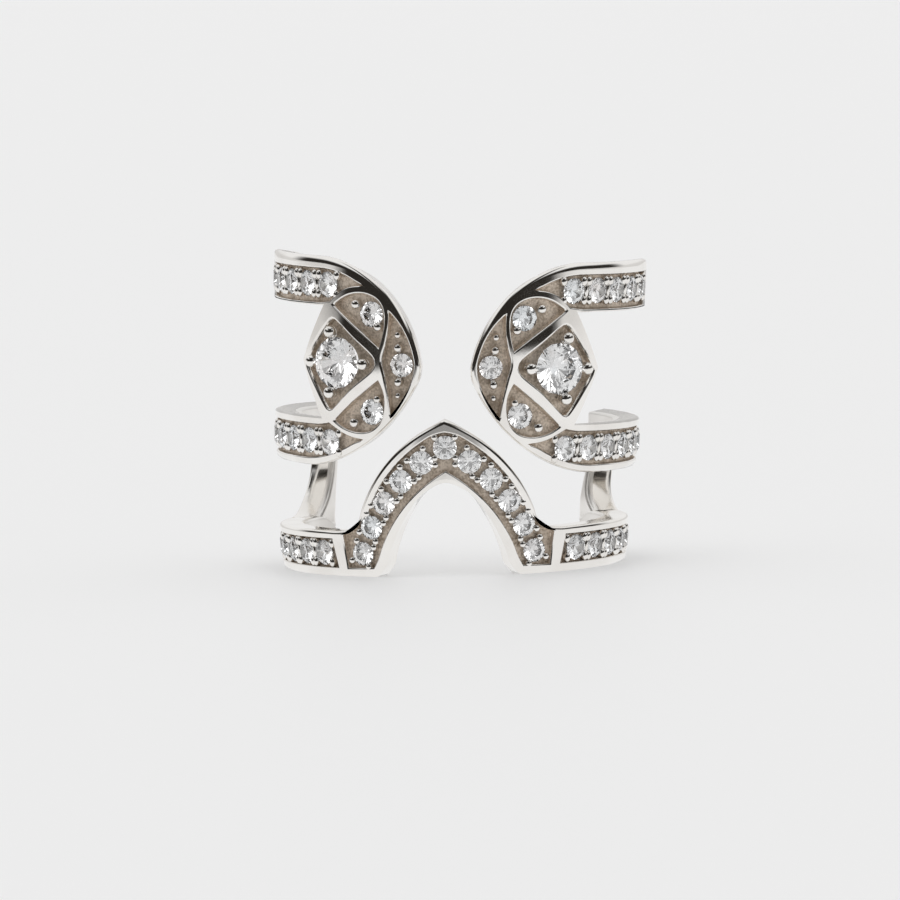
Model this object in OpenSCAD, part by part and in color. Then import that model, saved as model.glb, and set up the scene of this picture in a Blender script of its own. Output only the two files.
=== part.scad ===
/* [Ring] */
// Outer diameter at the lower rim
base_d = 16.74; // [16.2:0.02:17.4]
// Outer diameter at the waist
waist_d = 17.78; // [17.4:0.02:18.4]
// Outer diameter at the top rim
top_d = 18.26; // [17.9:0.02:18.8]
// Height of the waist, where the flare changes
waist_z = 6.2; // [5.6:0.1:7]
// Thickness of the metal, measured across the finger axis
wall = 1.3; // [1.2:0.05:1.5]
// Angle from the middle of the front to each end of the open back
end_angle = 127; // [124:1:132]
// Depth of the recesses that hold the stones
recess = 0.3; // [0.2:0.05:0.35]
// Depth of the groove under each row of stones
groove_depth = 0.75; // [0.7:0.05:0.8]
// Width of the groove under each row of stones
groove_w = 0.9; // [0.8:0.05:1]

/* [Lower band] */
// Height of the lower band
band_h = 2.2; // [2:0.05:2.4]
// Height of the arch's outer tip
arch_tip_z = 7.6; // [7:0.1:8]
// Radius of each outer side of the arch
arch_outer_r = 7.91; // [7.6:0.01:8.2]
// Height of the centre of the outer sides
arch_outer_z = 0.24; // [0:0.02:0.4]
// Radius of each side of the arch's opening
opening_r = 8.55; // [8.3:0.05:8.8]
// Height of the centre of the opening's sides
opening_cz = -1.67; // [-1.9:0.01:-1.5]
// Half width of the opening at the floor
opening_half_w = 3.6; // [3.4:0.05:3.8]
// Height of the opening's rounded top
opening_top_z = 4.56; // [4.3:0.02:4.7]
// Diameter of the stones on the arch
arch_stone_d = 1.16; // [1:0.02:1.24]

/* [Upper unit] */
// Height of the middle band's lower edge
unit_z0 = 5.02; // [4.9:0.02:5.2]
// Height of the upper band's top edge
unit_z1 = 15.2; // [15:0.02:15.4]
// Height of each of its two bands
loop_h = 2.4; // [2.3:0.05:2.5]
// Angle from the middle of the front to the end of each upper band
upper_end_angle = 89; // [88:1:95]
// Sideways lean of the upper unit over the lower band, in degrees
lean = 2.7; // [0:0.1:3]
// Turn of the upper unit about the finger axis, in degrees
turn = -1.8; // [-2.5:0.1:0]
// Distance along the surface from the middle to each head's point
head_point_s = 1.18; // [1:0.02:1.4]
// Height of the heads' points
head_z = 10.13; // [10:0.01:10.3]
// Radius of a head's upper edge
head_top_r = 6.05; // [5.9:0.01:6.2]
// Radius of a head's lower edge
head_low_r = 7.53; // [7.4:0.01:7.7]
// Diameter of the main stone in each head
main_stone_d = 2.5; // [2.2:0.05:2.6]
// Diameter of the stones in the petals
petal_stone_d = 1.25; // [1:0.05:1.3]
// Diameter of the stone near each head's point
tip_stone_d = 1.15; // [1:0.05:1.2]

/* [Rows of stones] */
// Diameter of the stones in the band rows
row_stone_d = 1.25; // [1.1:0.05:1.3]
// Angle between neighbouring stones in a row
row_pitch = 10; // [9.5:0.1:11]
// Number of stones in each upper row
upper_row_count = 5; // [3:1:5]
// Number of stones in each middle row
middle_row_count = 7; // [4:1:7]
// Number of stones in each row of the lower band
lower_row_count = 6; // [4:1:6]

/* [Hidden] */
$fn = 48;
past = 1;                     // how far a cutting shape runs past the metal
lean_z = band_h / 2;          // height about which the upper unit leans
rim = 0.4;                    // width of the polished rims
cut_from = 5;                 // radii between which the cuts right through the wall run
cut_to = 11;
gap_mid = 16;                 // angles from which the gap's edges, the heads and the bands' fronts are cut
head_mid = 31;
front_mid = 46;
upper_row_angle = 41.5;       // first stone of the upper rows
middle_row_angle = 40.5;      // first stone of the middle rows
lower_row_angle = 47;         // first stone of the lower rows
upper_row_z = unit_z1 - 1.37;
middle_row_z = unit_z0 + 1.21;
lower_row_z = band_h / 2;
channel_h = 1.7;
main_stone_angle = 35.9;      // place of the main stone, and the way that it faces
main_stone_facing = 31;
main_stone_lift = 0.2;
stone_sink = 0.12;            // how far the small stones' girdles lie below the surface
post_angle = 119.5;           // front edge of the back posts, and how far they lie inside the wall
post_inset = 0.25;

// Outer radius at a height, and the wall's slope there
function outer_r(z) =
    z < waist_z ? (base_d + (waist_d - base_d) * z / waist_z) / 2
                : (waist_d + (top_d - waist_d) * (z - waist_z) / (unit_z1 - waist_z)) / 2;
function slope(z) =
    z < waist_z ? atan((waist_d - base_d) / 2 / waist_z)
                : atan((top_d - waist_d) / 2 / (unit_z1 - waist_z));

// A distance along the surface at a height, as an angle
function angle_of(s, z) = s / outer_r(z) * 180 / PI;
// Points given as distance along the surface and height, as seen square on from an angle
function wrap(points, mid) =
    [for (p = points) [outer_r(p[1]) * sin(angle_of(p[0], p[1]) - mid), p[1]]];
// Points on an arc from one angle to another
function arc(centre, r, from, to, steps) =
    [for (i = [0:steps]) let (a = from + (to - from) * i / steps) centre + r * [cos(a), sin(a)]];
// Points on a shallow bow from one corner to the next, without the next corner
function bow(a, b, height, steps) =
    let (d = b - a, side = [d[1], -d[0]] / norm(d))
    [for (i = [0:steps - 1]) let (t = i / steps) a + t * d + 4 * t * (1 - t) * height * side];
// A closed outline from rows of distance, height and bow of the side that follows
function outline(rows, steps = 6) =
    [for (i = [0:len(rows) - 1])
        let (a = rows[i], b = rows[(i + 1) % len(rows)], n = a[2] == 0 ? 1 : steps)
        each bow([a[0], a[1]], [b[0], b[1]], a[2], n)];
function turned_over(rows) = [for (r = rows) [r[0], 2 * head_z - r[1], -r[2]]];
// Angle of an arc's point at a height, on its left side
function left_side(centre_z, r, z) = 180 - asin((z - centre_z) / r);

// Centres of a head's two edges, and of the arch's sides
top_c = [head_point_s + sqrt(pow(head_top_r, 2) - pow(unit_z1 - head_top_r - head_z, 2)),
         unit_z1 - head_top_r];
low_c = [head_point_s + sqrt(pow(head_low_r, 2) - pow(unit_z0 + head_low_r - head_z, 2)),
         unit_z0 + head_low_r];
arch_c = [-sqrt(pow(arch_outer_r, 2) - pow(arch_tip_z - arch_outer_z, 2)), arch_outer_z];
opening_c = [opening_half_w - sqrt(pow(opening_r, 2) - pow(opening_cz, 2)), opening_cz];

// A recess's corners: distance along the surface, height, bow of the side that follows
kite_rows = [
    // s,   z,              bow
    [3.62, head_z,        -0.1],
    [6.12, head_z + 2.06, -0.05],
    [7.68, head_z,        -0.05],
    [6.12, head_z - 2.1,  -0.1]];
petal_rows = [
    [5.98, head_z + 2.77,  0.5],
    [3.3,  head_z + 2.85,  0.2],
    [3.27, head_z + 0.87,  0]];
crescent_rows = [
    [2.84, head_z + 2.57, -1.2],
    [2.66, head_z - 2.4,   0.03],
    [3.12, head_z + 0.17,  0.08]];

// Seats: a distance along the surface and a height for each small stone of a head
upper_petal_at = [3.85, head_z + 2.4];
lower_petal_at = [3.72, head_z - 2.3];
tip_at = [2.2, head_z + 0.02];

// The arch's stones lie on a curve of their own, five a side and one at the tip
arch_row_c = [-3.9, -1.49];
arch_row_r = 8.68;
arch_row_from = acos(-arch_row_c[0] / arch_row_r);
arch_row_step = 9.16;
function arch_stone_at(i) =
    let (k = abs(i), p = arch_row_c + arch_row_r * [cos(arch_row_from - k * arch_row_step),
                                                   sin(arch_row_from - k * arch_row_step)])
    [i < 0 ? -p[0] : p[0], p[1]];

// Lets its children stand on the outer surface, their Z axis outwards
module on_surface(angle, z, facing) {
    look = facing == undef ? angle : facing;
    rotate([0, 0, angle]) translate([0, -outer_r(z), z])
        rotate([0, 0, look - angle]) rotate([90 + slope(z), 0, 0]) children();
}

// A sector of a body of revolution, from a profile of radius and height
module sector(from, to) {
    rotate([0, 0, from - 90]) rotate_extrude(angle = to - from) children();
}

// The wall's profile between two heights, with its faces moved in by an inset
module wall_profile(z0, z1, inset = 0) {
    mids = z0 < waist_z && z1 > waist_z ? [waist_z] : [];
    zs = concat([z0], mids, [z1]);
    outer = [for (z = zs) [outer_r(z) - inset, z]];
    inner = [for (i = [len(zs) - 1:-1:0]) [outer_r(zs[i]) - wall + inset, zs[i]]];
    polygon(concat(outer, inner));
}

// The layer at the surface that the recesses are cut from
module layer_profile(z0, z1, depth, above = past) {
    mids = z0 < waist_z && z1 > waist_z ? [waist_z] : [];
    zs = concat([z0], mids, [z1]);
    outer = [for (z = zs) [outer_r(z) + above, z]];
    inner = [for (i = [len(zs) - 1:-1:0]) [outer_r(zs[i]) - depth, zs[i]]];
    polygon(concat(outer, inner));
}

// A straight-sided block with the outline of some points, seen from an angle
module block(points, mid) {
    rotate([0, 0, mid]) rotate([90, 0, 0]) linear_extrude(height = top_d) polygon(wrap(points, mid));
}

module both_sides() {
    children();
    mirror([1, 0, 0]) children();
}

// What is left out in front of the right head, up to the middle
module head_gap() {
    high = unit_z1 + past;
    low = unit_z0 - past;
    middle = 0.4;
    over = 0.02;
    top_r = head_top_r + over;
    low_r = head_low_r + over;
    top_arc = arc(top_c, top_r, 90, left_side(top_c[1], top_r, head_z), 14);
    low_arc = arc(low_c, low_r, left_side(low_c[1], low_r, head_z), 270, 14);
    block(concat([[middle, low], [middle, high], [top_c[0], high]], top_arc,
                 [for (i = [1:14]) low_arc[i]], [[low_c[0], low]]), gap_mid);
}

// What is left out in the middle, between the two
module middle_gap() {
    half_w = 0.6;
    translate([-half_w, -top_d, unit_z0 - past])
        cube([2 * half_w, top_d, unit_z1 - unit_z0 + 2 * past]);
}

// A cut right through the wall between two angles and two heights
module wall_cut(from, to, z0, z1) {
    sector(from, to) polygon([[cut_from, z0], [cut_to, z0], [cut_to, z1], [cut_from, z1]]);
}

// The gap between the right upper and middle bands: it follows the kite in front and is open behind
module side_gap() {
    z0 = unit_z0 + loop_h;
    z1 = unit_z1 - loop_h;
    behind_head = 38;
    front = [[3, z0 - past], [3, z1 + past], [6.24, z1 + past], [8.22, head_z], [6.24, z0 - past]];
    difference() {
        wall_cut(behind_head, end_angle + 2, z0, z1);
        block(front, front_mid);
    }
}

// What is left out behind the end of the right upper band
module upper_end() {
    wall_cut(upper_end_angle, end_angle + 2, unit_z0 + loop_h + past, unit_z1 + past);
}

// A row's recess on the right, less what lies in front of it, and the groove under its stones
module row_recess(z, height, from, first_angle, count, in_front) {
    last_angle = first_angle + (count - 1) * row_pitch;
    difference() {
        sector(from, last_angle + 5) layer_profile(z - height / 2, z + height / 2, recess);
        block(in_front, front_mid);
    }
    sector(first_angle - 4, last_angle + 4)
        layer_profile(z - groove_w / 2, z + groove_w / 2, groove_depth, past / 2);
}

module upper_row_recess() {
    z0 = upper_row_z - channel_h / 2;
    z1 = upper_row_z + channel_h / 2;
    tip_angle = 25;
    edge = arc(top_c, z1 + 0.05 - top_c[1], 90, 119.8, 6);
    in_front = concat([[3, z0 - past], [3, z1 + past], [top_c[0], z1 + past]], edge,
                      bow(edge[6], [6.28, z0 + 0.1], -0.3, 5),
                      [[6.28, z0 + 0.1], [6.35, z0 - past]]);
    row_recess(upper_row_z, channel_h, tip_angle, upper_row_angle, upper_row_count, in_front);
}

module middle_row_recess() {
    z0 = middle_row_z - channel_h / 2;
    z1 = middle_row_z + channel_h / 2;
    tip_angle = 23;
    edge = arc(low_c, low_c[1] - z0 + 0.05, 270, 236.5, 6);
    in_front = concat([[3, z1 + past], [3, z0 - past], [low_c[0], z0 - past]], edge,
                      bow(edge[6], [6.28, z1 - 0.1], 0.25, 5),
                      [[6.28, z1 - 0.1], [6.35, z1 + past]]);
    row_recess(middle_row_z, channel_h, tip_angle, middle_row_angle, middle_row_count, in_front);
}

module lower_row_recess() {
    behind_arch = 35;
    in_front = [[4, -past], [4, band_h + past], [6.7, band_h + past], [5.42, -past]];
    row_recess(lower_row_z, band_h - 2 * rim, behind_arch, lower_row_angle, lower_row_count, in_front);
}

// The recesses of the right head, with the holes under its stones
module head_recesses() {
    intersection() {
        sector(2, 60) layer_profile(unit_z0, unit_z1, recess);
        union() {
            block(outline(kite_rows), head_mid);
            block(outline(petal_rows), head_mid);
            block(outline(turned_over(petal_rows)), head_mid);
            block(outline(crescent_rows), head_mid);
        }
    }
    on_surface(main_stone_angle, head_z, main_stone_facing)
        cylinder(h = 6, d = main_stone_d * 0.86, center = true);
    for (p = [upper_petal_at, lower_petal_at])
        on_surface(angle_of(p[0], p[1]), p[1])
            cylinder(h = 2 * groove_depth, d = petal_stone_d * 0.8, center = true);
    on_surface(angle_of(tip_at[0], tip_at[1]), tip_at[1])
        cylinder(h = 2 * groove_depth, d = tip_stone_d * 0.8, center = true);
}

// Four round prongs about the main stone
module prongs() {
    prong_r = 0.26;
    reach = main_stone_d / 2 + prong_r + 0.05;
    on_surface(main_stone_angle, head_z, main_stone_facing)
        for (a = [0:90:270])
            rotate([0, 0, a]) translate([reach, 0, -2 * recess]) {
                cylinder(h = 2 * recess + main_stone_lift, r = prong_r);
                translate([0, 0, 2 * recess + main_stone_lift]) sphere(r = prong_r);
            }
}

module upper_unit() {
    translate([0, 0, lean_z]) rotate([0, lean, 0]) rotate([0, 0, turn]) translate([0, 0, -lean_z])
        children();
}

// The two heads with their bands
module upper_metal() {
    difference() {
        sector(-end_angle, end_angle) wall_profile(unit_z0, unit_z1);
        both_sides() {
            head_gap();
            side_gap();
            upper_end();
            head_recesses();
            upper_row_recess();
            middle_row_recess();
        }
        middle_gap();
    }
    both_sides() prongs();
}

// The post that carries the upper unit, on the right: its foot spreads forward in a quarter round
module back_post() {
    hollow_r = 2.8;
    hollow_angle = post_angle - hollow_r / outer_r(unit_z0) * 180 / PI;
    difference() {
        sector(hollow_angle - 4, end_angle - 1)
            wall_profile(band_h / 3, unit_z0 + loop_h / 2, post_inset);
        rotate([0, 0, hollow_angle]) translate([0, 0, unit_z0]) rotate([90, 0, 0])
            cylinder(h = top_d, r = hollow_r);
        wall_cut(hollow_angle - 5, hollow_angle, 0, unit_z0 + loop_h);
    }
}

// What is left out above the arch, seen from the front
module above_arch() {
    high = arch_tip_z + 2 * past;
    shoulder = [5.75, band_h + 0.02];
    side = arc(arch_c, arch_outer_r, asin((arch_tip_z - arch_c[1]) / arch_outer_r), 18, 10);
    right = concat([[7, high], [7, shoulder[1]], shoulder],
                   [for (i = [4:-1:1]) bow(side[10], shoulder, 0.12, 5)[i]],
                   [for (i = [10:-1:0]) side[i]]);
    left = [for (i = [len(right) - 2:-1:0]) [-right[i][0], right[i][1]]];
    block(concat(right, left), 0);
}

// The opening under the arch, seen from the front
module arch_opening() {
    side = arc(opening_c, opening_r, asin(-opening_c[1] / opening_r), 40, 10);
    right = concat([[opening_half_w + 0.1, -past]], side,
                   bow(side[10], [0, opening_top_z], 0.12, 4), [[0, opening_top_z]]);
    left = [for (i = [len(right) - 2:-1:0]) [-right[i][0], right[i][1]]];
    block(concat(right, left), 0);
}

// The recess of the arch, from foot to foot
module arch_recess() {
    outer_r0 = arch_outer_r - rim;
    tip = arch_tip_z - 0.6;
    outer_side = arc(arch_c, outer_r0, 64, 19, 9);
    inner_side = arc([-3.71, -1.46], 7.58, 16, 59, 9);
    right = concat([[0, tip]], outer_side, [[5.5, band_h - 0.15], [5.2, rim + 0.04],
                   [3.75, rim + 0.1]], inner_side, [[0, 5.15]]);
    left = [for (i = [len(right) - 2:-1:1]) [-right[i][0], right[i][1]]];
    intersection() {
        sector(-45, 45) layer_profile(0, arch_tip_z, recess);
        block(concat(right, left), 0);
    }
    for (i = [-5:5]) {
        p = arch_stone_at(i);
        on_surface(angle_of(p[0], p[1]), p[1])
            cylinder(h = 2 * groove_depth, d = arch_stone_d * 0.8, center = true);
    }
}

module lower_metal() {
    high = arch_tip_z + past;
    behind_arch = 37;
    difference() {
        sector(-end_angle, end_angle) wall_profile(0, high);
        both_sides() {
            wall_cut(behind_arch, end_angle + 2, band_h, high + past);
            lower_row_recess();
        }
        above_arch();
        arch_opening();
        arch_recess();
    }
}

module ring_frame() {
    color("silver") {
        lower_metal();
        both_sides() back_post();
        upper_unit() upper_metal();
    }
}

// A round brilliant on its girdle: a table, a crown, a thin girdle and a pavilion
module brilliant(d) {
    r = d / 2;
    table = [for (i = [0:7]) r * [0.55 * cos(i * 45), 0.55 * sin(i * 45), 0.3]];
    star = [for (i = [0:7]) r * [0.76 * cos(i * 45 + 22.5), 0.76 * sin(i * 45 + 22.5), 0.2]];
    upper = [for (i = [0:15]) r * [cos(i * 22.5), sin(i * 22.5), 0.02]];
    under = [for (i = [0:15]) r * [cos(i * 22.5), sin(i * 22.5), -0.02]];
    low = [for (i = [0:7]) r * [0.25 * cos(i * 45 + 22.5), 0.25 * sin(i * 45 + 22.5), -0.66]];
    culet = [[0, 0, -0.86 * r]];
    s = 8;
    u = 16;
    g = 32;
    l = 48;
    tables = [for (i = [1:6]) [0, i + 1, i]];
    stars = [for (i = [0:7]) [i, (i + 1) % 8, s + i]];
    kites = [for (i = [0:7]) let (b = (i + 7) % 8)
        each [[i, s + i, u + 2 * i], [i, u + 2 * i, s + b]]];
    halves = [for (i = [0:7]) let (m = u + 2 * i + 1)
        each [[s + i, m, u + 2 * i], [s + i, u + (2 * i + 2) % 16, m]]];
    girdle = [for (i = [0:15]) let (j = (i + 1) % 16)
        each [[u + i, u + j, g + j], [u + i, g + j, g + i]]];
    lower = [for (i = [0:7]) let (m = g + 2 * i + 1)
        each [[l + i, g + 2 * i, m], [l + i, m, g + (2 * i + 2) % 16]]];
    mains = [for (i = [0:7]) let (b = (i + 7) % 8)
        each [[56, l + b, g + 2 * i], [56, g + 2 * i, l + i]]];
    polyhedron(concat(table, star, upper, under, low, culet),
               concat(tables, stars, kites, halves, girdle, lower, mains));
}

// Puts its children on one side of the ring: "left" mirrors them
module on_side(side) {
    if (side == "left") mirror([1, 0, 0]) children();
    else children();
}

module main_stone(side) {
    color("white") upper_unit() on_side(side)
        on_surface(main_stone_angle, head_z, main_stone_facing)
            translate([0, 0, main_stone_lift]) brilliant(main_stone_d);
}

module head_stone(side, at, d) {
    color("white") upper_unit() on_side(side)
        on_surface(angle_of(at[0], at[1]), at[1]) translate([0, 0, -stone_sink]) brilliant(d);
}

// The stones of the arch, counted from the left foot
module arch_stone(number) {
    p = arch_stone_at(number - 6);
    color("white") on_surface(angle_of(p[0], p[1]), p[1])
        translate([0, 0, -stone_sink]) brilliant(arch_stone_d);
}

module stone_row(first_angle, z, count) {
    color("white") for (i = [0:count - 1])
        on_surface(first_angle + i * row_pitch, z) translate([0, 0, -stone_sink]) brilliant(row_stone_d);
}

module upper_row(side) {
    upper_unit() on_side(side) stone_row(upper_row_angle, upper_row_z, upper_row_count);
}

module middle_row(side) {
    upper_unit() on_side(side) stone_row(middle_row_angle, middle_row_z, middle_row_count);
}

module lower_row(side) {
    on_side(side) stone_row(lower_row_angle, lower_row_z, lower_row_count);
}

ring_frame();
main_stone("left");  // left_main_stone
main_stone("right");  // right_main_stone
head_stone("left", upper_petal_at, petal_stone_d);  // left_upper_petal_stone
head_stone("right", upper_petal_at, petal_stone_d);  // right_upper_petal_stone
head_stone("left", lower_petal_at, petal_stone_d);  // left_lower_petal_stone
head_stone("right", lower_petal_at, petal_stone_d);  // right_lower_petal_stone
head_stone("left", tip_at, tip_stone_d);  // left_tip_stone
head_stone("right", tip_at, tip_stone_d);  // right_tip_stone
for (i = [1:11]) arch_stone(i);
upper_row("left");  // left_upper_row
upper_row("right");  // right_upper_row
middle_row("left");  // left_middle_row
middle_row("right");  // right_middle_row
lower_row("left");  // left_lower_row
lower_row("right");  // right_lower_row
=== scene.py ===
from math import atan2, cos, exp, pi, radians, sin
import bmesh
import bpy
from mathutils import Matrix, Vector


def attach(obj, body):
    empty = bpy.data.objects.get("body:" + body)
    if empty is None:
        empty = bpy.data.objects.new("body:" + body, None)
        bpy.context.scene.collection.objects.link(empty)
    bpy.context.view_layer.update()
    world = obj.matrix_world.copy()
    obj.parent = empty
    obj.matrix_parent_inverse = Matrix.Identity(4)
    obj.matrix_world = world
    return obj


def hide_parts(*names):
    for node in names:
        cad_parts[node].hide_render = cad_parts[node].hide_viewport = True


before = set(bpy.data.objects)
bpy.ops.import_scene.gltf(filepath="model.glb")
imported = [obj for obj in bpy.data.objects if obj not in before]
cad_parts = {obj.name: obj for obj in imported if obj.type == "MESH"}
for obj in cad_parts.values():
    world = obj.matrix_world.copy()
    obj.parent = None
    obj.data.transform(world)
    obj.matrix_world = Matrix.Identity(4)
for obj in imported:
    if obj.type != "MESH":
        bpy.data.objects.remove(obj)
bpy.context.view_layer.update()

print("frame loaded")

mm = 0.001

# The flat drawings below are in mm: distance round the ring from the middle of the front, then height.
# A third number of 1 marks a sharp corner. They are given depth, then bent round the finger.

surface = {                     # the round surface that all the metal follows
    "baseRadius": 8.37,
    "waistRadius": 8.89,
    "topRadius": 9.13,
    "waistHeight": 6.2,
    "topHeight": 15.2,
    "waistBlend": 2.0,
    "endAngle": 127,
    "thickness": 1.3,
}

upperPlace = {                  # how the heads sit over the lower band
    "lean": 2.7,
    "turn": -1.8,
    "pivot": 1.1,
    "postFrom": 12,             # what lies further round than this is a post
    "postLean": (1.8, 5.0),     # heights between which a post starts to lean
    "postFoot": (1.9, 2.9),     # and between which it narrows, where it enters the lower band
    "footThinner": 0.1,
    "footInset": 0.06,
}

relief = {
    "recess": 0.3,              # depth of the recesses
    "fillet": 0.05,             # between a recess's wall and its floor
    "wallDraft": 0.015,
    "wallTop": 0.02,            # satin starts this far below the rounded top edge
    "wellSides": 28,
    "wellTwist": 0.03,
    "dome": 0.28,               # how far the middle of each head's rims stands forward
    "domeDip": 1.1,             # and how far they fall back away from it, as a share of that
    "domeHeight": 2.9,
    "domeFade": (5.5, 10.5),
    "headHeight": 10.13,
    "cut": 0.3,                 # distance between the cuts that let the metal bend
    "same": 2e-4,               # points as close as this are one
}


def outerRadius(z):
    low = (surface["waistRadius"] - surface["baseRadius"]) / surface["waistHeight"]
    high = (surface["topRadius"] - surface["waistRadius"]) / (surface["topHeight"] - surface["waistHeight"])
    blend = surface["waistBlend"]
    d = z - surface["waistHeight"]
    if d > blend:
        return surface["waistRadius"] + high * d
    if d < -blend:
        return surface["waistRadius"] + low * d
    return surface["waistRadius"] + low * d + (high - low) * (d + blend) ** 2 / (4 * blend)


def smooth(low, high, x):
    t = min(max((x - low) / (high - low), 0), 1)
    return t * t * (3 - 2 * t)


def distanceAt(angle, z):
    return radians(angle) * outerRadius(z)


pivot = Matrix.Translation((0, 0, upperPlace["pivot"]))
upperMatrix = (pivot @ Matrix.Rotation(radians(upperPlace["lean"]), 4, "Y")
               @ Matrix.Rotation(radians(upperPlace["turn"]), 4, "Z") @ pivot.inverted())


def domeAt(s, depth, z):
    # Highest at the middle of the head, and falling away gently above and below it
    t = (z - relief["headHeight"]) / relief["domeHeight"]
    dip = relief["domeDip"]
    rise = relief["dome"] * ((1 + dip) * exp(-t * t / (1 + dip)) - dip)
    fade = 1 - smooth(*relief["domeFade"], abs(s))
    return rise * fade * min(max(1 - depth / relief["recess"], 0), 1)


def bendLower(s, depth, z):
    angle = s / outerRadius(z)
    r = outerRadius(z) - depth
    return Vector((r * sin(angle), -r * cos(angle), z))


def bendUpper(s, depth, z):
    place = upperPlace
    angle = s / outerRadius(z)
    foot = 1 - smooth(*place["postFoot"], z)
    r = outerRadius(z) - depth * (1 - place["footThinner"] * foot) - place["footInset"] * foot + domeAt(s, depth, z)
    p = Vector((r * sin(angle), -r * cos(angle), z))
    share = 1 if abs(s) < place["postFrom"] else smooth(*place["postLean"], z)
    return p.lerp(upperMatrix @ p, share)


# Drawing and deepening outlines

def arcRows(centre, radius, start, end, count):
    turns = [radians(start + (end - start) * i / (count - 1)) for i in range(count)]
    return [(centre[0] + radius * cos(t), centre[1] + radius * sin(t), 0) for t in turns]


def mirrored(rows):
    return rows + [(-s, z, corner) for s, z, corner in reversed(rows) if abs(s) > 1e-6]


def softLine(rows, gap):
    # Points along a closed line that runs smoothly through the rows, except at corners
    rows = [tuple(r) + (0,) if len(r) == 2 else tuple(r) for r in rows]
    spots = [Vector((r[0], r[1])) for r in rows]
    count = len(rows)
    points = []
    for i in range(count):
        before, a, b, after = (spots[(i + k) % count] for k in (-1, 0, 1, 2))
        cornerA, cornerB = rows[i][2], rows[(i + 1) % count][2]
        chord = b - a
        leave = chord if cornerA else (b - before).normalized() * chord.length
        arrive = chord if cornerB else (after - a).normalized() * chord.length
        if cornerA and not cornerB:
            leave = 1.5 * chord - 0.5 * arrive
        if cornerB and not cornerA:
            arrive = 1.5 * chord - 0.5 * leave
        steps = 1 if cornerA and cornerB else max(1, round(chord.length / gap))
        for k in range(steps):
            t = k / steps
            points.append((2 * t**3 - 3 * t**2 + 1) * a + (t**3 - 2 * t**2 + t) * leave
                          + (3 * t**2 - 2 * t**3) * b + (t**3 - t**2) * arrive)
    return points


def waysOut(points):
    # At each point, the way out of the outline, longer at a corner so that the new line keeps its distance
    count = len(points)
    area = sum(points[i - 1].x * points[i].y - points[i].x * points[i - 1].y for i in range(count))
    side = 1 if area > 0 else -1
    ways = []
    for i in range(count):
        first = (points[i] - points[i - 1]).normalized()
        second = (points[(i + 1) % count] - points[i]).normalized()
        n = Vector((first.y + second.y, -first.x - second.x)) * side
        ways.append(n / max(1 + first.dot(second), 0.75))
    return ways


def startMetal():
    bm = bmesh.new()
    bm.verts.layers.float_vector.new("shade")      # the way that the surface faces at each vertex
    return bm


def only(made, kind):
    return [g for g in made if isinstance(g, kind)]


def giveFinish(made, finish):
    for face in only(made, bmesh.types.BMFace):
        face.material_index = finish


polished, satin, inside = 0, 1, 2          # places of the finishes in metalSkins


class Outline:
    # A closed line in a bmesh, which is stepped down to make a rounded edge and a wall. The wall faces out of the
    # outline where side is 1, and into it where side is -1.
    def __init__(self, bm, rows, side, gap=0.16, widen=0.0, widths=None):
        self.bm = bm
        self.side = side
        self.shade = bm.verts.layers.float_vector["shade"]
        self.points = softLine(rows, gap)
        self.ways = waysOut(self.points)
        self.widths = [widths(p) if widths else 1 for p in self.points]
        self.before = None
        self.ring = [bm.verts.new(self.place(i, widen, 0)) for i in range(len(self.points))]
        for a, b in zip(self.ring, self.ring[1:] + self.ring[:1]):
            bm.edges.new((a, b))
            a[self.shade] = (0, -1, 0)

    def place(self, i, out, depth):
        p = self.points[i] + self.ways[i] * out * self.widths[i]
        return Vector((p.x, depth, p.y))

    def edges(self):
        return [self.bm.edges.get(pair) for pair in zip(self.ring, self.ring[1:] + self.ring[:1])]

    def step(self, out, depth, finish):
        made = bmesh.ops.extrude_edge_only(self.bm, edges=self.edges())["geom"]
        fresh = set(only(made, bmesh.types.BMVert))
        after = [next(e.other_vert(v) for e in v.link_edges if e.other_vert(v) in fresh) for v in self.ring]
        for i, v in enumerate(after):
            v.co = self.place(i, out, depth)
            v[self.shade] = (0, self.side, 0)
        giveFinish(made, finish)
        if self.before:
            # Each vertex faces square to the line between the steps before and after it
            for way, a, v, b in zip(self.ways, self.before, self.ring, after):
                v[self.shade] = (b.co - a.co).cross(Vector((-way.y, 0, way.x))).normalized() * self.side
        self.before, self.ring = self.ring, after

    def roundOver(self, width, height, steps=4):
        # From the top surface over a rounded edge to the wall
        for k in range(1, steps + 1):
            a = 0.5 * pi * k / steps
            self.step(-self.side * width * (1 - sin(a)), height * (1 - cos(a)), polished)

    def roundUnder(self, width, steps=4, draft=0.0):
        # Down the wall and over a rounded edge to the inner surface
        back = surface["thickness"]
        for k in range(0, steps + 1):
            a = 0.5 * pi * k / steps
            self.step(-self.side * (draft + width * (1 - cos(a))), back - width + width * sin(a),
                      inside if k else polished)


def fillFace(bm, edges, finish, facing):
    made = bmesh.ops.triangle_fill(bm, edges=edges, use_beauty=True, use_dissolve=False, normal=facing)["geom"]
    giveFinish(made, finish)


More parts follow.
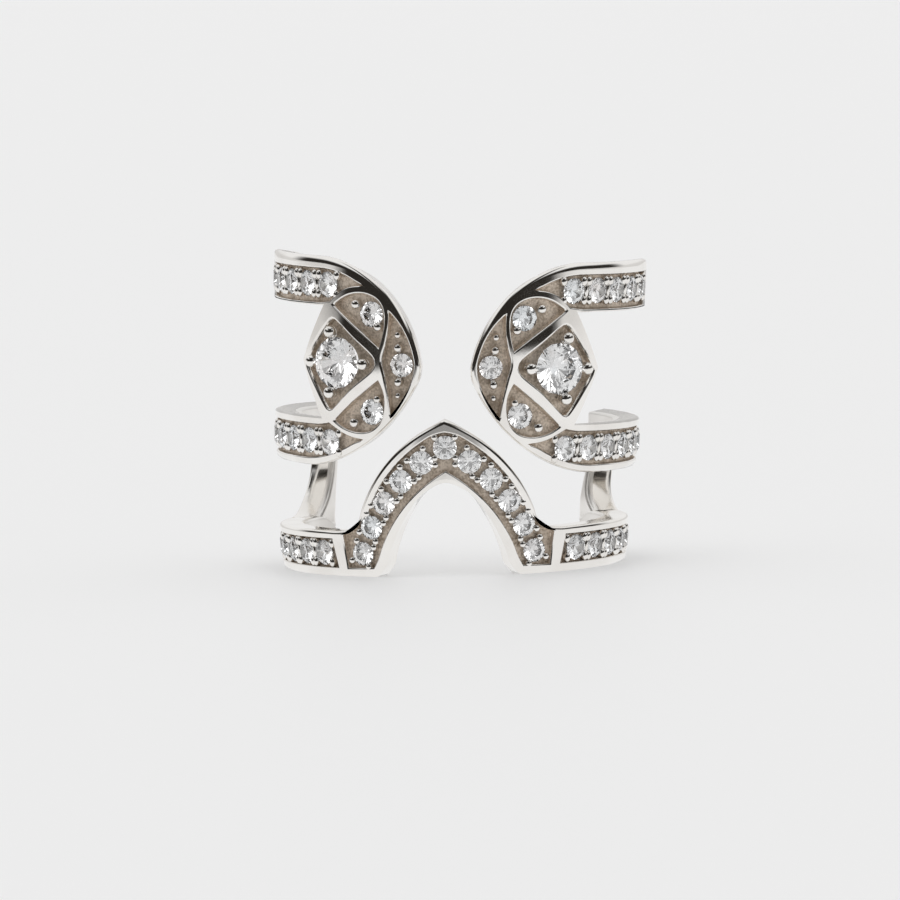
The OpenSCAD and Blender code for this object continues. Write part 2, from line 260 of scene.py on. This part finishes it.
def sinkRecess(bm, rows, wells, width=0.07, gap=0.16, splits=()):
    # A recess with a rounded top edge, a floor and a round well for each stone. The floor of a long recess is
    # split between its wells. Returns the edges of its mouth, and those of the wells that go right through.
    depth, fillet, draft = relief["recess"], relief["fillet"], relief["wallDraft"]
    line = Outline(bm, rows, -1, gap, widen=width)
    mouth = line.edges()
    line.roundOver(width, width, 3)
    line.step(0, width + relief["wallTop"], satin)
    line.step(-draft, depth - fillet, satin)
    line.step(-draft - 0.3 * fillet, depth - 0.3 * fillet, satin)
    line.step(-draft - fillet, depth, satin)
    cells = bmesh.ops.contextual_create(bm, geom=line.edges())["faces"]
    for split in splits:
        parts = list(dict.fromkeys(g for f in cells for g in [f, *f.edges, *f.verts]))
        cut = bmesh.ops.bisect_plane(bm, geom=parts, dist=1e-5, plane_co=(split, 0, 0), plane_no=(1, 0, 0))
        cells = only(cut["geom"], bmesh.types.BMFace)
    rims, backs = [], []
    turn = Matrix.Rotation(pi / 2, 4, "X") @ Matrix.Rotation(relief["wellTwist"], 4, "Z")
    for s, z, r, bottom in wells:
        circle = bmesh.ops.create_circle(bm, cap_ends=False, segments=relief["wellSides"], radius=r,
                                         matrix=Matrix.Translation((s, depth, z)) @ turn)["verts"]
        rim = list(dict.fromkeys(e for v in circle for e in v.link_edges))
        rims.append((s, rim))
        made = bmesh.ops.extrude_edge_only(bm, edges=rim)["geom"]
        low = only(made, bmesh.types.BMVert)
        for v in low:
            v.co.y = bottom
        giveFinish(made, inside)
        lowRim = [e for e in only(made, bmesh.types.BMEdge) if e.verts[0] in low and e.verts[1] in low]
        if bottom < surface["thickness"]:
            fillFace(bm, lowRim, inside, (0, -1, 0))
        else:
            backs += lowRim
    for cell in cells:
        low, high = min(v.co.x for v in cell.verts), max(v.co.x for v in cell.verts)
        edges = list(cell.edges) + [e for s, rim in rims if low < s < high for e in rim]
        bm.faces.remove(cell)
        fillFace(bm, edges, satin, (0, -1, 0))
    return mouth, backs


def cutForBend(bm, reach, heights):
    # Cuts right through the drawing at even distances and at some heights, so that it bends in small steps
    bmesh.ops.dissolve_degenerate(bm, dist=relief["same"], edges=bm.edges[:])
    count = round(2 * reach / relief["cut"])
    planes = [((-reach + i * relief["cut"], 0, 0), (1, 0, 0)) for i in range(count)]
    planes += [((0, 0, z), (0, 0, 1)) for z in heights]
    for spot, way in planes:
        everything = bm.verts[:] + bm.edges[:] + bm.faces[:]
        bmesh.ops.bisect_plane(bm, geom=everything, dist=relief["same"], plane_co=spot, plane_no=way)


def bendMetal(bm, bend):
    # Bends the drawing round the finger. Returns the shading direction for each vertex.
    bm.normal_update()
    shade = bm.verts.layers.float_vector["shade"]
    shades = []
    e = 0.02                    # half the length over which the slopes of the bent surface are taken
    for v in bm.verts:
        s, depth, z = v.co
        n = v[shade].normalized() if v[shade].length > 0.1 else v.normal.copy()
        if abs(depth - surface["thickness"]) < relief["same"]:
            n = Vector((0, 1, 0))
        elif min(abs(depth), abs(depth - relief["recess"])) < relief["same"]:
            n = Vector((0, -1, 0))
        across = (bend(s + e, depth, z) - bend(s - e, depth, z)).normalized()
        upward = (bend(s, depth, z + e) - bend(s, depth, z - e)).normalized()
        outward = across.cross(upward).normalized()
        shades.append((across * n.x + upward * n.z - outward * n.y).normalized())
        v.co = bend(s, depth, z) * mm
    bm.verts.layers.float_vector.remove(shade)
    return shades


def finishPiece(bm, name, materials, shades=None):
    mesh = bpy.data.meshes.new(name)
    for f in bm.faces:
        f.smooth = True
    bm.to_mesh(mesh)
    bm.free()
    if shades:
        mesh.normals_split_custom_set_from_vertices(shades)
    piece = bpy.data.objects.new(name, mesh)
    bpy.context.scene.collection.objects.link(piece)
    for m in materials:
        mesh.materials.append(m)
    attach(piece, "root")
    print(name, len(mesh.polygons), "faces")
    return piece


# Materials

class Signal:                   # what a node gives, with arithmetic
    def __init__(self, paint, socket):
        self.paint = paint
        self.socket = socket

    def maths(self, operation, a, b):
        return self.paint.node("ShaderNodeMath", {"operation": operation}, {0: a, 1: b})

    def __add__(self, other):
        return self.maths("ADD", self, other)

    def __radd__(self, other):
        return self.maths("ADD", other, self)

    def __sub__(self, other):
        return self.maths("SUBTRACT", self, other)

    def __rsub__(self, other):
        return self.maths("SUBTRACT", other, self)

    def __mul__(self, other):
        return self.maths("MULTIPLY", self, other)

    def __rmul__(self, other):
        return self.maths("MULTIPLY", other, self)

    def __abs__(self):
        return self.paint.node("ShaderNodeMath", {"operation": "ABSOLUTE"}, {0: self})

    def orMore(self, other):
        return self.maths("MAXIMUM", self, other)

    def softStep(self, low, high, start, end):
        return self.paint.node("ShaderNodeMapRange", {"interpolation_type": "SMOOTHSTEP"},
                               {"Value": self, "From Min": low, "From Max": high, "To Min": start, "To Max": end})

    def above(self, low, high):
        return self.softStep(low, high, 0.0, 1.0)

    def below(self, low, high):
        return self.softStep(low, high, 1.0, 0.0)


class Paint:                    # the nodes of one material or of the world
    def __init__(self, owner):
        owner.use_nodes = True
        self.tree = owner.node_tree
        self.tree.nodes.clear()

    def node(self, kind, settings=None, sockets=None, output=0):
        made = self.tree.nodes.new(kind)
        for name, value in (settings or {}).items():
            setattr(made, name, value)
        for name, value in (sockets or {}).items():
            if isinstance(value, Signal):
                self.tree.links.new(value.socket, made.inputs[name])
            else:
                made.inputs[name].default_value = value
        return Signal(self, made.outputs[output] if made.outputs else None)

    def mix(self, factor, first, second):
        # The colour sockets of a Mix node are numbers 6 and 7, and its colour comes out of number 2
        return self.node("ShaderNodeMix", {"data_type": "RGBA"}, {0: factor, 6: first, 7: second}, output=2)

    def noise(self, scale, detail=2.0):
        place = self.node("ShaderNodeTexCoord", output="Object")
        return self.node("ShaderNodeTexNoise", None, {"Vector": place, "Scale": scale, "Detail": detail})

    def bump(self, height, strength):
        return self.node("ShaderNodeBump", None, {"Height": height, "Strength": strength, "Distance": 0.00004})

    def finish(self, signal, kind="ShaderNodeOutputMaterial"):
        self.node(kind, None, {"Surface": signal})


silverLook = {
    "colour": (0.93, 0.91, 0.88, 1),
    "wornColour": (0.87, 0.845, 0.81, 1),
    "roughness": 0.07,
    "wornRoughness": 0.16,
    "insideRoughness": 0.3,     # the inner face is only rubbed smooth
    "wearScale": 420.0,
    "wearFrom": (0.35, 0.7),
    "waveScale": 900.0,
    "grainScale": 5200.0,
    "grainShare": 0.25,
    "bump": 0.06,
}
satinLook = {
    "colour": (0.84, 0.735, 0.625, 1),
    "deepColour": (0.44, 0.36, 0.28, 1),
    "metallic": 0.6,
    "roughness": 0.46,
    "grainRoughness": 0.12,
    "cloudScale": 1500.0,
    "grainScale": 9000.0,
    "grainShare": 0.6,
    "paleFrom": (0.36, 0.62),
    "bump": 0.5,
}
stoneLook = {
    "colour": (1.0, 1.0, 1.0, 1),
    # the warm and cool tints are painted fire: patches standing in for the coloured light that a cut stone splits
    "warmColour": (1.0, 0.955, 0.93, 1),
    "warmScale": 900.0,
    "warmFrom": (0.55, 0.68),
    "coolColour": (0.94, 0.975, 1.0, 1),
    "coolScale": 620.0,
    "coolFrom": (0.53, 0.66),
    "ior": 2.15,
}


def makeSilver(name, roughness):
    look = silverLook
    material = bpy.data.materials.new(name)
    paint = Paint(material)
    wear = paint.noise(look["wearScale"], 4.0).above(*look["wearFrom"])
    grain = paint.noise(look["grainScale"], 3.0)
    wave = paint.noise(look["waveScale"], 1.0)
    bump = paint.bump(grain * look["grainShare"] + wave * (1 - look["grainShare"]), look["bump"])
    rough = roughness + wear * (look["wornRoughness"] - look["roughness"])
    colour = paint.mix(wear, look["colour"], look["wornColour"])
    paint.finish(paint.node("ShaderNodeBsdfPrincipled", None,
                            {"Base Color": colour, "Metallic": 1.0, "Roughness": rough, "Normal": bump}))
    return material


def makeSatin():
    look = satinLook
    material = bpy.data.materials.new("satinRecess")
    paint = Paint(material)
    grain = paint.noise(look["grainScale"], 3.0)
    cloud = paint.noise(look["cloudScale"], 3.0)
    pale = (cloud * (1 - look["grainShare"]) + grain * look["grainShare"]).above(*look["paleFrom"])
    colour = paint.mix(pale, look["deepColour"], look["colour"])
    rough = look["roughness"] + grain * look["grainRoughness"]
    paint.finish(paint.node("ShaderNodeBsdfPrincipled", None,
                            {"Base Color": colour, "Metallic": look["metallic"], "Roughness": rough,
                             "Normal": paint.bump(grain, look["bump"])}))
    return material


def makeStone():
    look = stoneLook
    material = bpy.data.materials.new("clearStone")
    paint = Paint(material)
    # Painted fire: noise patches of warm and cool tint stand in for the coloured light that the clear stone splits
    warmFire = paint.noise(look["warmScale"]).above(*look["warmFrom"])
    coolFire = paint.noise(look["coolScale"]).above(*look["coolFrom"])
    colour = paint.mix(coolFire, paint.mix(warmFire, look["colour"], look["warmColour"]), look["coolColour"])
    paint.finish(paint.node("ShaderNodeBsdfPrincipled", None,
                            {"Base Color": colour, "Roughness": 0.0, "IOR": look["ior"],
                             "Transmission Weight": 1.0}))
    return material


silver = makeSilver("polishedSilver", silverLook["roughness"])
metalSkins = [silver, makeSatin(), makeSilver("rubbedSilver", silverLook["insideRoughness"])]
crystal = makeStone()
print("materials made")

# The upper unit: two heads, each with its bands and its post

rowStones = {
    "upper": {"first": 41.5, "height": 13.83, "count": 5},
    "middle": {"first": 40.5, "height": 6.23, "count": 7},
    "lower": {"first": 47, "height": 1.1, "count": 6},
    "pitch": 10,
    "wellRadius": 0.5,
    "wellDepth": 0.92,
}


def rowPlaces(name):
    row = rowStones[name]
    return [(distanceAt(row["first"] + i * rowStones["pitch"], row["height"]), row["height"])
            for i in range(row["count"])]


def rowWells(name, side=1):
    return [(side * s, z, rowStones["wellRadius"], rowStones["wellDepth"]) for s, z in rowPlaces(name)]


def middles(wells):
    return [(a[0] + b[0]) / 2 for a, b in zip(wells, wells[1:])]


heads = {
    "topCentre": (7.15, 9.15), "topRadius": 6.05,
    "lowCentre": (8.15, 12.55), "lowRadius": 7.53,
    "unitBottom": 5.02, "unitTop": 15.2,
    "topStart": 8.2, "bottomStart": 9.2, "point": 1.18,
    "windowBottom": 7.42, "windowTop": 12.8, "windowCorner": 6.78, "windowMiddle": 8.2,
    "upperEnd": 89, "postFront": 119.5, "footRadius": 2.8, "postBottom": 1.3,
    "reach": 20.1, "cutHeights": (1.63, 0.45, 30),         # lowest, distance between them, and number
    "upperRowEnd": 13.7, "middleRowEnd": 16.3,
    "mainStone": (5.64, 10.13), "mainHole": 1.0,
    "upperPetalStone": (3.85, 12.53), "lowerPetalStone": (3.72, 7.83), "petalWell": (0.5, 0.92),
    "tipStone": (2.2, 10.15), "tipWell": (0.45, 0.92),
    "kiteEdge": 0.13, "petalEdge": 0.095, "crescentEdge": 0.09, "rowEdge": 0.08,
    "kite": [(3.5, 10.16), (3.66, 10.52), (4.7, 11.32), (5.72, 12.08), (6.02, 12.2), (6.3, 12.02), (7.1, 11.05),
             (7.72, 10.25), (7.8, 10.05), (7.7, 9.84), (7.0, 8.9), (6.32, 8.0), (6.12, 7.86), (5.85, 7.98),
             (4.75, 8.97), (3.68, 9.82)],
    "upperPetal": [(6.02, 12.9, 1), (5.2, 13.38), (4.32, 13.5), (3.55, 13.26), (3.16, 12.76), (3.08, 11.95),
                   (3.27, 10.96, 1), (4.62, 11.95)],
    "lowerPetal": [(5.84, 7.32, 1), (4.6, 8.35), (3.28, 9.38, 1), (2.98, 8.6), (3.09, 7.58), (3.6, 7.0),
                   (4.35, 6.83), (5.2, 6.98)],
    "crescent": [(2.86, 12.72, 1), (2.2, 12.0), (1.72, 11.08), (1.5, 10.13), (1.7, 9.24), (2.1, 8.4),
                 (2.62, 7.66, 1), (2.76, 8.7), (2.95, 9.6), (3.12, 10.34), (2.95, 11.1), (2.84, 11.9)],
}
outerEdge = {                   # rounding along the outline of the upper unit
    "width": 0.3, "height": 0.24,
    "draft": 0.24,              # how far the wall leans in
    "besideWindow": 0.45,       # and the shares of these in each place
    "roundHead": 0.7, "upperBand": 1.25, "upperEnd": 0.5, "middleBand": 1.0,
    "bandFrom": (3.5, 6.5), "endFrom": (11.8, 13.4),
}


def upperOutline():
    h = heads
    low, high, end = h["windowBottom"], h["windowTop"], surface["endAngle"]
    middle, bottom = relief["headHeight"], h["postBottom"]
    front = distanceAt(h["postFront"], h["unitBottom"])
    upperEnd = distanceAt(h["upperEnd"], high)
    foot = (front - h["footRadius"], h["unitBottom"])
    return ([(h["topStart"], h["unitTop"], 0)] + arcRows(h["topCentre"], h["topRadius"], 90, 170.4, 16)[:-1]
            + [(h["point"], middle, 1)]
            + arcRows(h["lowCentre"], h["lowRadius"], 199.1, 270, 16)[1:] + [(h["bottomStart"], h["unitBottom"], 0)]
            + [(front, h["unitBottom"], 1)] + arcRows(foot, h["footRadius"], -8, -82, 10)
            + [(foot[0], foot[1] - h["footRadius"], 1), (foot[0], bottom, 1)]
            + [(distanceAt(end, bottom), bottom, 1), (distanceAt(end, low), low, 1)]
            + [(h["windowCorner"], low, 1), (h["windowMiddle"], middle, 1), (h["windowCorner"], high, 1)]
            + [(upperEnd - 0.35, high, 0), (upperEnd - 0.08, high + 0.1, 0), (upperEnd, high + 0.4, 0)]
            + [(upperEnd + 0.05, h["unitTop"] - 0.5, 0), (upperEnd - 0.05, h["unitTop"] - 0.14, 0)]
            + [(upperEnd - 0.45, h["unitTop"], 0)])


def upperChannel():
    h = heads
    return ([(4.36, 13.9, 1)] + arcRows(h["topCentre"], 5.45, 116, 90, 6)
            + [(h["upperRowEnd"], 14.6, 1), (h["upperRowEnd"], 12.97, 1), (7.2, 12.97, 0), (6.28, 13.06, 1),
               (5.75, 13.52, 0), (5.15, 13.8, 0)])


def middleChannel():
    h = heads
    return ([(4.16, 6.47, 1), (4.7, 6.53, 0), (5.25, 6.68, 0), (6.2, 7.16, 1), (7.2, 7.04, 0),
             (h["middleRowEnd"], 7.04, 1), (h["middleRowEnd"], 5.42, 1)]
            + arcRows(h["lowCentre"], 7.15, 270, 241, 7))


def rimWidth(p):
    # The rounded outer edge is narrow beside the window and round the head, and wider along the bands
    edge = outerEdge
    if p.x > heads["windowCorner"] - 0.08 and heads["windowBottom"] - 0.05 < p.y < heads["windowTop"] + 0.05:
        return edge["besideWindow"]
    along = smooth(*edge["bandFrom"], p.x)
    if p.y > heads["windowTop"] + 0.5:
        share = edge["roundHead"] + (edge["upperBand"] - edge["roundHead"]) * along
        return share - (edge["upperBand"] - edge["upperEnd"]) * smooth(*edge["endFrom"], p.x)
    return edge["roundHead"] + (edge["middleBand"] - edge["roundHead"]) * along


def makeUpper():
    h = heads
    bm = startMetal()
    width, height = outerEdge["width"], outerEdge["height"]
    outer = Outline(bm, upperOutline(), 1, gap=0.2, widen=-width, widths=rimWidth)
    top = outer.edges()
    outer.roundOver(width, height, 5)
    outer.roundUnder(width, 4, draft=outerEdge["draft"])
    backs = outer.edges()
    mainWell = [(*h["mainStone"], h["mainHole"], surface["thickness"])]
    upperRow, middleRow = rowWells("upper"), rowWells("middle")
    recesses = [
        (h["kite"], mainWell, h["kiteEdge"], 0.16, ()),
        (h["upperPetal"], [(*h["upperPetalStone"], *h["petalWell"])], h["petalEdge"], 0.12, ()),
        (h["lowerPetal"], [(*h["lowerPetalStone"], *h["petalWell"])], h["petalEdge"], 0.12, ()),
        (h["crescent"], [(*h["tipStone"], *h["tipWell"])], h["crescentEdge"], 0.12, ()),
        (upperChannel(), upperRow, h["rowEdge"], 0.2, middles(upperRow)),
        (middleChannel(), middleRow, h["rowEdge"], 0.2, middles(middleRow)),
    ]
    for rows, wells, width, gap, splits in recesses:
        mouth, through = sinkRecess(bm, rows, wells, width, gap, splits)
        top += mouth
        backs += through
    fillFace(bm, top, polished, (0, -1, 0))
    fillFace(bm, backs, inside, (0, 1, 0))
    bmesh.ops.recalc_face_normals(bm, faces=bm.faces[:])
    bmesh.ops.mirror(bm, geom=bm.verts[:] + bm.edges[:] + bm.faces[:], merge_dist=-1, axis="X")
    bmesh.ops.recalc_face_normals(bm, faces=bm.faces[:])
    shade = bm.verts.layers.float_vector["shade"]
    for v in bm.verts:
        if v.co.x < 0:
            v[shade].x *= -1
    lowest, apart, count = h["cutHeights"]
    cutForBend(bm, h["reach"], [lowest + apart * i for i in range(count)])
    shades = bendMetal(bm, bendUpper)
    return finishPiece(bm, "upperUnit", metalSkins, shades)


# The lower band with its arch

band = {
    "height": 2.2, "tip": 7.6, "endRound": 1.5,
    "outerCentre": (-2.9, 0.24), "outerRadius": 7.91,
    "openingCentre": (-5.17, -1.67), "openingRadius": 8.55, "openingFoot": 3.6, "openingTop": 4.56,
    "cellInner": (-3.71, -1.46), "cellInnerRadius": 7.58,
    "stoneCentre": (-3.9, -1.49), "stoneRadius": 8.68, "stoneStart": 63.3, "stoneStep": 9.16,
    "wellRadius": 0.46, "wellDepth": 0.88,
    "edge": 0.2, "edgeHeight": 0.18, "reach": 20.6,
}


def bandOutline():
    b = band
    end = distanceAt(surface["endAngle"], b["height"] - b["endRound"])
    right = ([(0, b["tip"], 1)] + arcRows(b["outerCentre"], b["outerRadius"], 65, 18, 12)
             + [(5.12, 2.32, 0), (5.85, b["height"], 0), (6.6, b["height"], 0),
                (end - b["endRound"], b["height"], 0)]
             + arcRows((end - b["endRound"], b["height"] - b["endRound"]), b["endRound"], 67, 0, 4)
             + [(distanceAt(surface["endAngle"], 0), 0, 1), (b["openingFoot"], 0, 1)]
             + arcRows(b["openingCentre"], b["openingRadius"], 15, 40, 8)
             + [(0.82, 4.26, 0), (0, b["openingTop"], 0)])
    return mirrored(right)


def archCell():
    b = band
    right = ([(0, 7.0, 1)] + arcRows(b["outerCentre"], 7.48, 62, 22, 9)
             + [(4.77, 2.43, 0), (5.5, 2.0, 1), (5.2, 0.42, 1), (3.75, 0.46, 1)]
             + arcRows(b["cellInner"], b["cellInnerRadius"], 18, 57, 8) + [(0, 5.15, 1)])
    return mirrored(right)


def sideCell():
    return [(6.2, 1.8, 1), (5.82, 0.42, 1), (15.1, 0.42, 1), (15.1, 1.8, 1)]


def archPlaces():
    b = band
    places = []
    for i in range(-5, 6):
        turn = radians(b["stoneStart"] - abs(i) * b["stoneStep"])
        s = b["stoneCentre"][0] + b["stoneRadius"] * cos(turn)
        places.append((-s if i < 0 else s, b["stoneCentre"][1] + b["stoneRadius"] * sin(turn)))
    return places


def makeBand():
    bm = startMetal()
    outer = Outline(bm, bandOutline(), 1, gap=0.2, widen=-band["edge"])
    top = outer.edges()
    outer.roundOver(band["edge"], band["edgeHeight"], 5)
    outer.roundUnder(band["edge"], 4)
    wells = [(s, z, band["wellRadius"], band["wellDepth"]) for s, z in archPlaces()]
    top += sinkRecess(bm, archCell(), wells, gap=0.18)[0]
    for side in (1, -1):
        rows = [(side * s, z, corner) for s, z, corner in sideCell()]
        row = rowWells("lower", side)
        top += sinkRecess(bm, rows, row, splits=middles(row))[0]
    fillFace(bm, top, polished, (0, -1, 0))
    fillFace(bm, outer.edges(), inside, (0, 1, 0))
    bmesh.ops.recalc_face_normals(bm, faces=bm.faces[:])
    cutForBend(bm, band["reach"], [])
    shades = bendMetal(bm, bendLower)
    return finishPiece(bm, "lowerBand", metalSkins, shades)


# Prongs and beads

beads = {
    "rowAcross": 0.62, "rowUp": 0.46, "rowRadius": 0.19, "rowTall": 1.3, "rowLift": -0.14,
    "ridgeRadius": 0.13, "ridgeTall": 2.9, "ridgeLift": -0.15,
    "archCorner": 0.5, "archRadius": 0.19,
    "petal": [(4.72, 12.98, 0.24), (3.45, 11.94, 0.235), (4.66, 7.28, 0.25), (3.42, 8.47, 0.21)],
    "crescent": [(2.42, 11.6, 0.19), (2.38, 10.98, 0.23), (2.33, 9.33, 0.235), (2.34, 8.68, 0.18)],
}
prongs = {
    "angle": 35.9, "facing": 31,
    "reach": 1.52, "upReach": 0.96, "back": 0.42,
    "radius": 0.3, "lift": 0.16, "root": -0.6, "rootShare": 0.82, "neckShare": 0.93,
}


def seat(s, z, lift, upper, facing=None):
    # A place on the surface: Z outwards, Y up, X to the right
    angle = s / outerRadius(z)
    look = angle if facing is None else radians(facing)
    step = 0.1
    slope = (outerRadius(z + step) - outerRadius(z - step)) / (2 * step)
    outward = Vector((sin(look), -cos(look), -slope)).normalized()
    across = Vector((cos(look), sin(look), 0))
    upward = outward.cross(across)
    r = outerRadius(z)
    turned = Matrix((across, upward, outward)).transposed().to_4x4()
    placed = Matrix.Translation((r * sin(angle), -r * cos(angle), z)) @ turned @ Matrix.Translation((0, 0, lift))
    return Matrix.Scale(mm, 4) @ (upperMatrix @ placed if upper else placed)


def addBall(bm, place, r, subdivisions=2, tall=1.0):
    stretch = Matrix.Diagonal((1, tall, 1, 1))
    bmesh.ops.create_icosphere(bm, subdivisions=subdivisions, radius=r, matrix=place @ stretch)


def makeProngs():
    p = prongs
    middle = relief["headHeight"]
    tall = p["lift"] - p["root"]
    stemUp = Matrix.Translation((0, 0, p["root"] + tall / 2))
    ballUp = Matrix.Translation((0, 0, p["lift"]))
    bm = bmesh.new()
    for side in (1, -1):
        stone = seat(side * distanceAt(p["angle"], middle), middle, 0, True, side * p["facing"])
        for across, up in ((1, 0), (0, 1), (-1, 0), (0, -1)):
            shift = side * p["back"] * abs(up)             # the upper and lower prongs stand a little further back
            spot = stone @ Matrix.Translation((p["reach"] * across + shift, p["reach"] * p["upReach"] * up, 0))
            bmesh.ops.create_cone(bm, cap_ends=True, segments=24, radius1=p["radius"] * p["rootShare"],
                                  radius2=p["radius"] * p["neckShare"], depth=tall, matrix=spot @ stemUp)
            bmesh.ops.create_uvsphere(bm, u_segments=24, v_segments=14, radius=p["radius"], matrix=spot @ ballUp)
    return finishPiece(bm, "mainProngs", [silver])


def makeBeads():
    b = beads
    corners = ((-1, -1), (-1, 1), (1, -1), (1, 1))
    sunk = relief["recess"] + 0.02
    bm = bmesh.new()
    for side in (1, -1):
        for s, z, r in b["petal"] + b["crescent"]:
            addBall(bm, seat(side * s, z, r - sunk, True), r, 3)
        for name, upper in (("upper", True), ("middle", True), ("lower", False)):
            row = rowPlaces(name)
            for s, z in row:
                for across, up in corners:
                    place = seat(side * (s + across * b["rowAcross"]), z + up * b["rowUp"], b["rowLift"], upper)
                    addBall(bm, place, b["rowRadius"], tall=b["rowTall"])
            for s in middles(row):
                place = seat(side * s, row[0][1], b["ridgeLift"], upper)
                addBall(bm, place, b["ridgeRadius"], tall=b["ridgeTall"])
    centre = band["stoneCentre"]
    for s, z in archPlaces():
        centreS = centre[0] if s > 0 else -centre[0]
        along = atan2(centreS - s, z - centre[1]) if abs(s) > 0.01 else 0       # the way that the arch runs here
        for across, up in corners:
            x, y = across * b["archCorner"], up * b["archCorner"]
            turnedS, turnedZ = x * cos(along) - y * sin(along), x * sin(along) + y * cos(along)
            addBall(bm, seat(s + turnedS, z + turnedZ, b["rowLift"], False), b["archRadius"])
    return finishPiece(bm, "stoneBeads", [silver])


for piece in (makeUpper(), makeBand(), makeProngs()):
    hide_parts("ring_frame")
makeBeads()

for name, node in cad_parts.items():
    if name != "ring_frame":
        node.material_slots[0].material = crystal
print("metal, prongs and stones in place")

# The floor, the light and the camera

studio = {
    "floorRadius": 6.0,
    "floorColour": (0.57, 0.57, 0.57, 1),
    "floorGlow": 0.275,         # a lit table, so the shadows on it stay faint
    "skyColour": (1.0, 1.0, 1.0, 1),
    "skyStrength": 0.87,
    "wallColour": (0.8, 0.79, 0.78, 1),
    "darkColour": (0.026, 0.023, 0.02, 1),
    "sparkColour": (2.2, 2.2, 2.2, 1),          # the lamp as the stones show it
    "sparkFrom": (0.8, 0.9),
    "sunStrength": 0.42, "sunSize": 60, "sunHigh": 62, "sunAround": -20,
}
room = {                        # limits of the room's dark parts, as ways across, behind and up
    "ahead": (-0.15, 0.1),
    "roofFrom": (0.45, 0.62),
    "deskWidth": (0.26, 0.46), "deskFrom": (-0.24, -0.16), "deskShare": 0.7,
    "doorWidth": (0.42, 0.62), "doorFrom": (-0.1, -0.03), "doorTop": (0.86, 0.96), "doorTilt": 0.2,
    "wallAhead": (-0.4, -0.22), "wallFrom": (-0.1, -0.04), "wallTurn": 0.12, "wallTilt": 0.04,
    "sideAhead": (0.3, 0.6), "sideFrom": (0.08, 0.16),
    "greyFrom": (-0.03, 0.02), "greyTop": (0.12, 0.3),
}
view = {"scale": 20.4, "distance": 393.92, "elevation": 4.015, "yaw": 2.345, "roll": -1.396,
        "targetAcross": -0.111, "targetHeight": 5.538, "imageWidth": 900, "sensor": 36}


def makeFloor():
    bm = bmesh.new()
    bmesh.ops.create_circle(bm, cap_ends=True, segments=96, radius=studio["floorRadius"])
    mesh = bpy.data.meshes.new("floor")
    bm.to_mesh(mesh)
    bm.free()
    floor = bpy.data.objects.new("floor", mesh)
    bpy.context.scene.collection.objects.link(floor)
    material = bpy.data.materials.new("paleFloor")
    paint = Paint(material)
    paint.finish(paint.node("ShaderNodeBsdfPrincipled", None,
                            {"Base Color": studio["floorColour"], "Roughness": 0.55, "Specular IOR Level": 0.2,
                             "Emission Color": (1, 1, 1, 1), "Emission Strength": studio["floorGlow"]}))
    mesh.materials.append(material)
    floor.visible_glossy = False            # the metal mirrors the room's own lower half instead


def sunTurn():
    tip = Matrix.Rotation(radians(90 - studio["sunHigh"]), 4, "X")
    return Matrix.Rotation(radians(studio["sunAround"]), 4, "Z") @ tip


def makeSky():
    # Pale all round, with a grey line of walls, and the dark of the room in front for the metal to reflect
    world = bpy.data.worlds.new("studio")
    bpy.context.scene.world = world
    paint = Paint(world)
    way = paint.node("ShaderNodeTexCoord", output="Generated")
    across, behind, height = (paint.node("ShaderNodeSeparateXYZ", None, {"Vector": way}, part) for part in range(3))
    through = paint.node("ShaderNodeLightPath", output="Is Transmission Ray")
    mirror = paint.node("ShaderNodeLightPath", output="Is Glossy Ray") * (1 - through)
    ahead = behind.below(*room["ahead"])
    low = height.below(*room["roofFrom"])
    desk = abs(across).below(*room["deskWidth"]) * height.above(*room["deskFrom"]) * low * ahead
    door = (abs(across).below(*room["doorWidth"]) * (height - across * room["doorTilt"]).above(*room["doorFrom"])
            * height.below(*room["doorTop"]) * ahead)
    wall = ((behind + across * room["wallTurn"]).below(*room["wallAhead"])
            * (height - across * room["wallTilt"]).above(*room["wallFrom"]) * low)
    sides = behind.below(*room["sideAhead"]) * height.above(*room["sideFrom"]) * low
    dark = (desk * room["deskShare"]).orMore(door.orMore(wall.orMore(sides)) * mirror)
    grey = height.above(*room["greyFrom"]) * height.below(*room["greyTop"]) * mirror
    colour = paint.mix(grey, studio["skyColour"], studio["wallColour"])
    colour = paint.mix(dark, colour, studio["darkColour"])
    lampWay = sunTurn().col[2].xyz
    facing = paint.node("ShaderNodeVectorMath", {"operation": "DOT_PRODUCT"}, {0: way, 1: lampWay}, output="Value")
    colour = paint.mix(facing.above(*studio["sparkFrom"]) * through, colour, studio["sparkColour"])
    back = paint.node("ShaderNodeBackground", None, {"Color": colour, "Strength": studio["skyStrength"]})
    paint.finish(back, "ShaderNodeOutputWorld")


def makeSun():
    lamp = bpy.data.lights.new("softSun", "SUN")
    lamp.energy = studio["sunStrength"]
    lamp.angle = radians(studio["sunSize"])
    sun = bpy.data.objects.new("softSun", lamp)
    bpy.context.scene.collection.objects.link(sun)
    sun.matrix_world = sunTurn()
    sun.visible_glossy = False              # too soft to stand as a spot in the polished metal


def makeCamera():
    v = view
    a, e, roll = radians(v["yaw"]), radians(v["elevation"]), radians(v["roll"])
    back = Vector((sin(a) * cos(e), -cos(a) * cos(e), sin(e)))
    right = Vector((cos(a), sin(a), 0))
    up = back.cross(right)
    target = right * v["targetAcross"] + Vector((0, 0, v["targetHeight"]))
    across = cos(roll) * right + sin(roll) * up
    upward = cos(roll) * up - sin(roll) * right
    data = bpy.data.cameras.new("camera")
    data.sensor_width = v["sensor"]
    data.lens = v["scale"] * v["distance"] * v["sensor"] / v["imageWidth"]
    data.clip_start, data.clip_end = 0.01, 50
    camera = bpy.data.objects.new("camera", data)
    bpy.context.scene.collection.objects.link(camera)
    camera.matrix_world = (Matrix.Translation((target + back * v["distance"]) * mm)
                           @ Matrix((across, upward, back)).transposed().to_4x4())
    bpy.context.scene.camera = camera


makeFloor()
makeSky()
makeSun()
makeCamera()
bpy.context.scene.view_settings.view_transform = "Standard"
print("studio ready")
